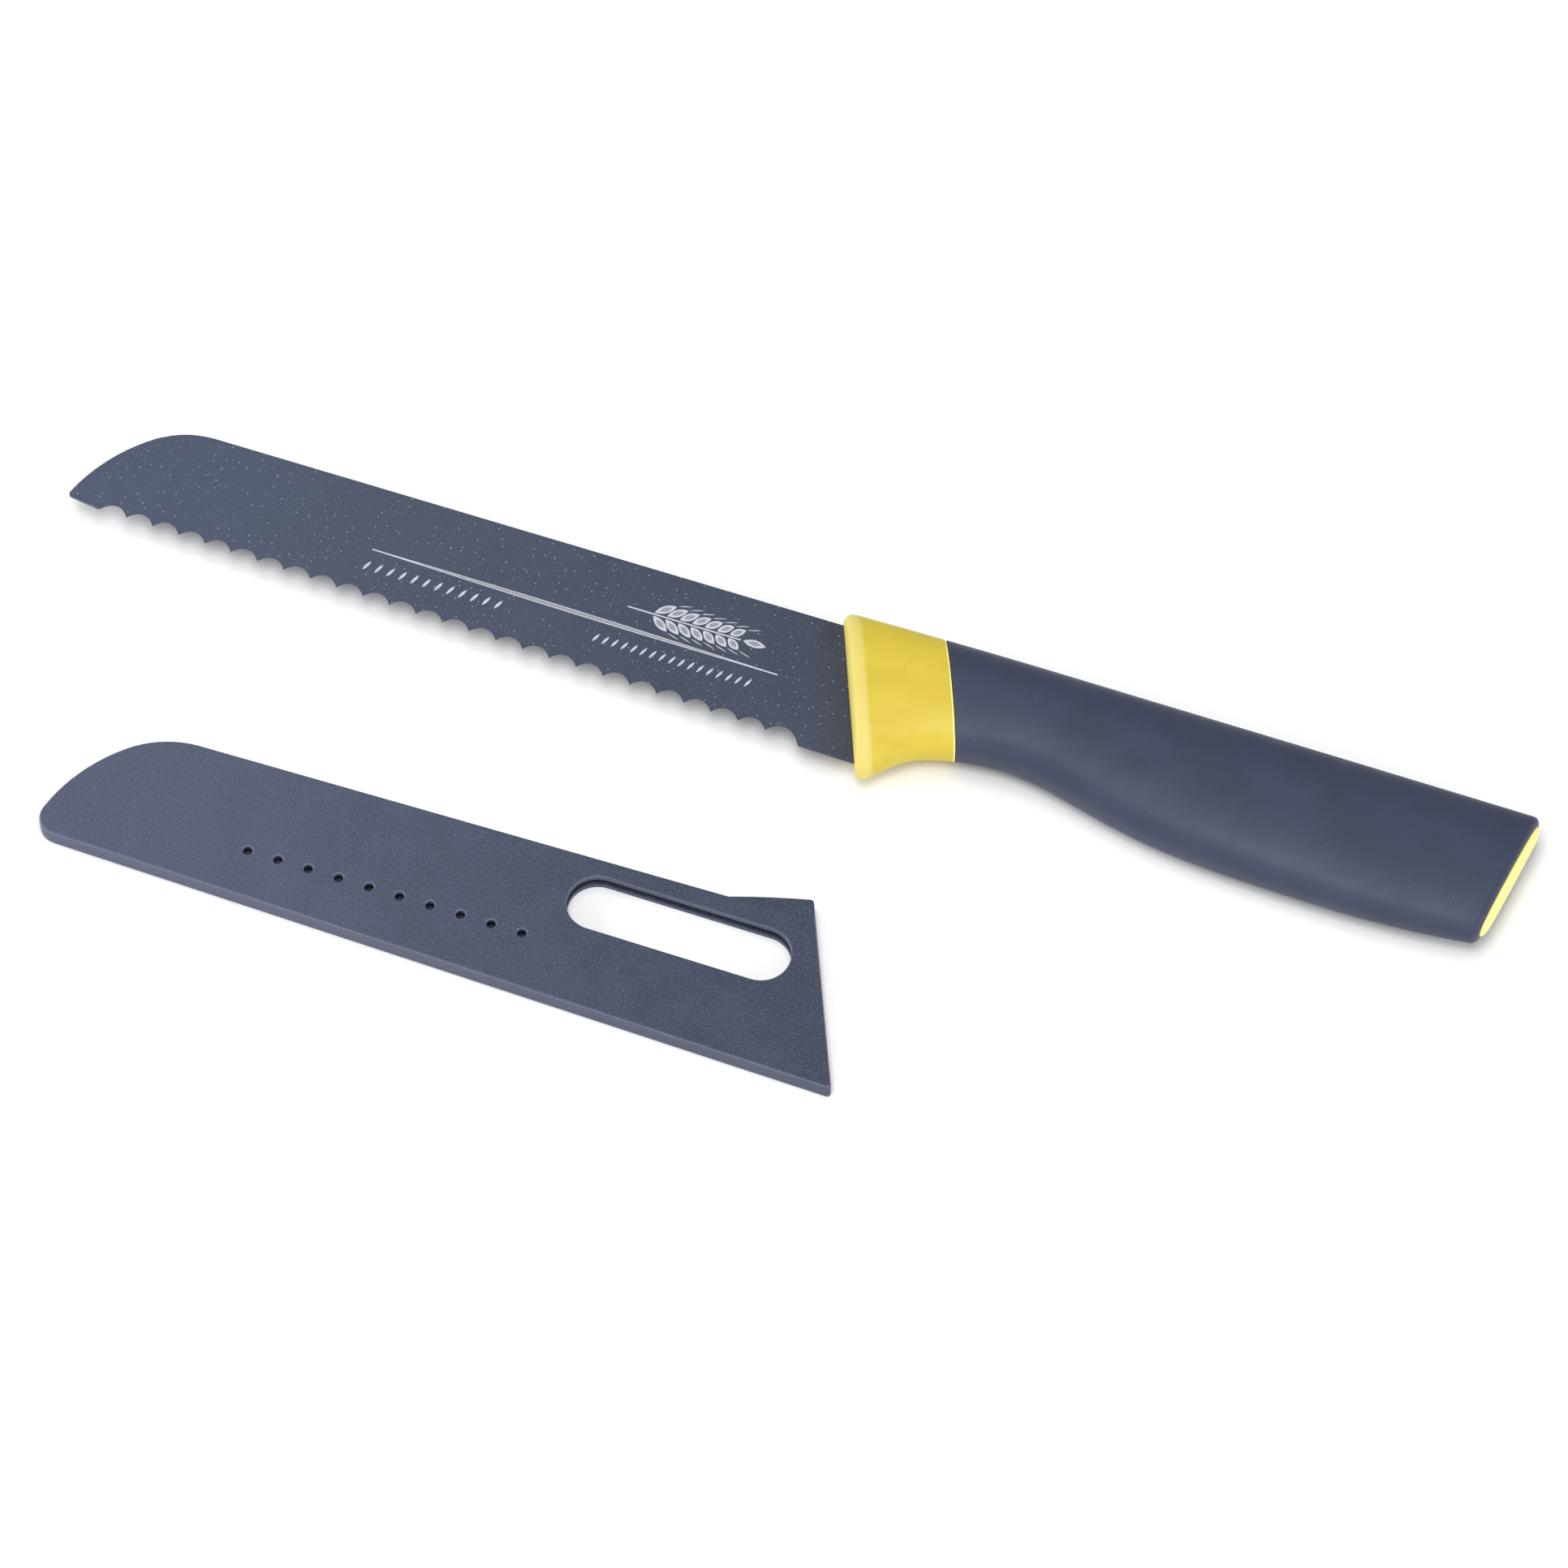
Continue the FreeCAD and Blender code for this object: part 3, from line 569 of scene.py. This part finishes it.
def make_core(seam):
    """The yellow moulding: collar with the blade's opening, hidden body and butt cap."""
    front = COLLAR_ROUND / HANDLE_LENGTH
    rings = [blade_slot_ring(SLOT_DEPTH, SLOT_GAP), blade_slot_ring(SLOT_EDGE, SLOT_GAP),
             blade_slot_ring(0.0, SLOT_GAP + SLOT_EDGE)]
    rings += [even_ring(front * (1 - math.cos(turn)), COLLAR_ROUND * (1 - math.sin(turn)))
              for turn in quarter_turns(COLLAR_ROUND_STEPS)]
    last = [f - SEAM_EDGE / HANDLE_LENGTH for f in seam]
    rings += between([front] * COLUMNS, last, COLLAR_STEPS)
    rings += seam_rings(seam, -1, GRIP_WALL)
    rings += between(seam, [1.0] * COLUMNS, BODY_STEPS, GRIP_WALL)
    rings += [even_ring(1.0, GRIP_WALL + CAP_ROUND * (1 - math.cos(turn)),
                        CAP_RISE * math.sin(turn)) for turn in quarter_turns(CAP_STEPS)]
    form = bmesh.new()
    skin(form, rings)
    core = finish_piece("yellow_core", form, core_plastic())
    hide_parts("handle_core")


def make_grip(seam):
    """The soft sleeve over the core, from the seam to the rounded rim at the butt."""
    first = [f + SEAM_EDGE / HANDLE_LENGTH for f in seam]
    end = 1 - BUTT_ROUND / HANDLE_LENGTH
    rings = seam_rings(seam, 1, GRIP_WALL)[::-1]
    rings += between(first, [end] * COLUMNS, GRIP_STEPS)
    rings += [even_ring(1 - BUTT_ROUND * (1 - math.sin(turn)) / HANDLE_LENGTH,
                        BUTT_ROUND * (1 - math.cos(turn)))
              for turn in quarter_turns(BUTT_ROUND_STEPS)]
    rings += [even_ring(1.0, GRIP_WALL - RIM_EDGE),
              even_ring(1 - RIM_DEPTH / HANDLE_LENGTH, GRIP_WALL)]
    form = bmesh.new()
    skin(form, rings, closed=True)
    grip = finish_piece("soft_grip", form, grip_rubber())
    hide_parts("grip")


def make_handle():
    """The core and the grip, with a fine groove between them along the seam."""
    seam = [seam_fraction(angle) for angle in ANGLES]
    make_core(seam)
    make_grip([f + SEAM_GAP / HANDLE_LENGTH for f in seam])


# ---------------------------------------------------------------- print on the blade

PRINT_THICK = 0.03
PRINT_RIM = 0.22           # width of the silver outline round the band's grey middle

BAND_LEFT, BAND_RIGHT = Vector((73.8, -16.9)), Vector((175.3, -18.1))
BAND_END, BAND_MIDDLE = 0.17, 0.58      # half depth of the long band at its ends and middle
BAND_SWELL = 1.4           # above 1, the ends stay thin for longer
BAND_STEPS = 60

STEM_LEFT, STEM_RIGHT, STEM_Y, STEM_HALF = 136.0, 164.0, -11.9, 0.18
TOP_GRAIN_X, TOP_GRAIN_LENGTH = 164.6, 5.6
GRAIN_PAIRS = 7
FIRST_GRAIN_X, GRAIN_PITCH = 142.5, 3.1
GRAIN_LENGTH, GRAIN_SHRINK = 5.4, 0.24  # of the first pair, and how much less each next one
GRAIN_WIDTH, GRAIN_FILL_WIDTH = 2.0, 1.1
GRAIN_FILL_START = 0.22    # the grey middle keeps this part of a grain's length from its ends
GRAIN_OFFSET, GRAIN_TURN = 0.5, 0.62    # from the stem, and radians away from it
AWN_START = 0.86           # along the grain
AWN_LENGTH, AWN_WIDTH, AWN_TURN = 3.4, 0.22, 0.30

# The two rows of marks: first mark, pitch, count, and each mark's length and width.
MARK_ROWS = [((73.6, -22.9), 3.0, 12, 3.0, 0.72),
             ((131.4, -23.7), 2.35, 17, 2.7, 0.62)]
MARK_TURN = 1.15


def on_face(x, y, lift=0.0):
    """A point on the blade's upper ground face."""
    return knife(x, y, BLADE_THICK / 2 - GRIND_SLOPE * (-y - BACK_ROUND) + lift)


def add_patch(form, outline, lift=0.0):
    """A thin raised patch of print with the given closed outline."""
    low = [form.verts.new(on_face(x, y, lift)) for x, y in outline]
    high = [form.verts.new(on_face(x, y, lift + PRINT_THICK)) for x, y in outline]
    form.faces.new(high)
    form.faces.new(low[::-1])
    count = len(outline)
    for i in range(count):
        j = (i + 1) % count
        form.faces.new((low[i], low[j], high[j], high[i]))


def leaf(x, y, length, width, turn, steps=10):
    """The outline of a pointed grain that starts at (x, y) and points along turn."""
    spine = [i / steps for i in range(steps + 1)]
    bulge = [width / 2 * math.sin(math.pi * s) ** 0.8 for s in spine]
    side = [(length * s, b) for s, b in zip(spine, bulge)]
    side += [(length * s, -b) for s, b in list(zip(spine, bulge))[-2:0:-1]]
    cosine, sine = math.cos(turn), math.sin(turn)
    return [(x + cosine * u - sine * v, y + sine * u + cosine * v) for u, v in side]


def add_band(form, spine, lift=0.0):
    """A patch along a spine of (point, half depth)."""
    add_patch(form, [(p.x, p.y + half) for p, half in spine]
              + [(p.x, p.y - half) for p, half in spine[::-1]], lift)


def make_band(silver, grey):
    """The long tapered band: a silver outline round a grey middle."""
    spine = []
    for i in range(BAND_STEPS + 1):
        swell = math.sin(math.pi * i / BAND_STEPS) ** BAND_SWELL
        spine.append((BAND_LEFT.lerp(BAND_RIGHT, i / BAND_STEPS),
                      BAND_END + (BAND_MIDDLE - BAND_END) * swell))
    form = bmesh.new()
    add_band(form, spine)
    finish_piece("print_band", form, silver)
    middle = [(p, half - PRINT_RIM) for p, half in spine if half > PRINT_RIM * 1.2]
    form = bmesh.new()
    add_band(form, middle, PRINT_THICK)
    finish_piece("print_band_fill", form, grey)


def make_wheat_ear(silver, grey):
    """An ear of wheat above the band: a stem, outlined grains in pairs and their awns."""
    outlines, middles = bmesh.new(), bmesh.new()
    add_band(outlines, [(Vector((x, STEM_Y)), STEM_HALF) for x in (STEM_LEFT, STEM_RIGHT)])
    grains = [(TOP_GRAIN_X, STEM_Y, TOP_GRAIN_LENGTH, 0.0)]
    for i in range(GRAIN_PAIRS):
        x, length = FIRST_GRAIN_X + GRAIN_PITCH * i, GRAIN_LENGTH - GRAIN_SHRINK * i
        for side in (-1, 1):
            grains.append((x, STEM_Y + side * GRAIN_OFFSET, length, side * GRAIN_TURN))
            awn_y = STEM_Y + side * (GRAIN_OFFSET + length * GRAIN_TURN)
            add_patch(outlines, leaf(x + length * AWN_START, awn_y, AWN_LENGTH, AWN_WIDTH,
                                     side * AWN_TURN))
    for x, y, length, turn in grains:
        add_patch(outlines, leaf(x, y, length, GRAIN_WIDTH, turn))
        start = GRAIN_FILL_START * length
        add_patch(middles, leaf(x + start * math.cos(turn), y + start * math.sin(turn),
                                length - 2 * start, GRAIN_FILL_WIDTH, turn), PRINT_THICK)
    finish_piece("print_wheat_ear", outlines, silver)
    finish_piece("print_wheat_fill", middles, grey)


def make_marks(silver):
    """Two rows of small slanted marks below the band."""
    form = bmesh.new()
    for (x, y), pitch, count, length, width in MARK_ROWS:
        for i in range(count):
            add_patch(form, leaf(x + pitch * i, y, length, width, MARK_TURN))
    finish_piece("print_marks", form, silver)


def make_print():
    """The silver and grey print on the upper face of the blade."""
    silver, grey = silver_print(), grey_print()
    make_band(silver, grey)
    make_wheat_ear(silver, grey)
    make_marks(silver)


# ---------------------------------------------------------------- making

def paint(node, material):
    """Give a CAD node its finish."""
    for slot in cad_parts[node].material_slots:
        slot.material = material


make_camera()
make_studio()
paint("blade", blade_coating())
guard_finish = guard_plastic()
paint("guard_upper_shell", guard_finish)
paint("guard_lower_shell", guard_finish)
make_handle()
make_print()
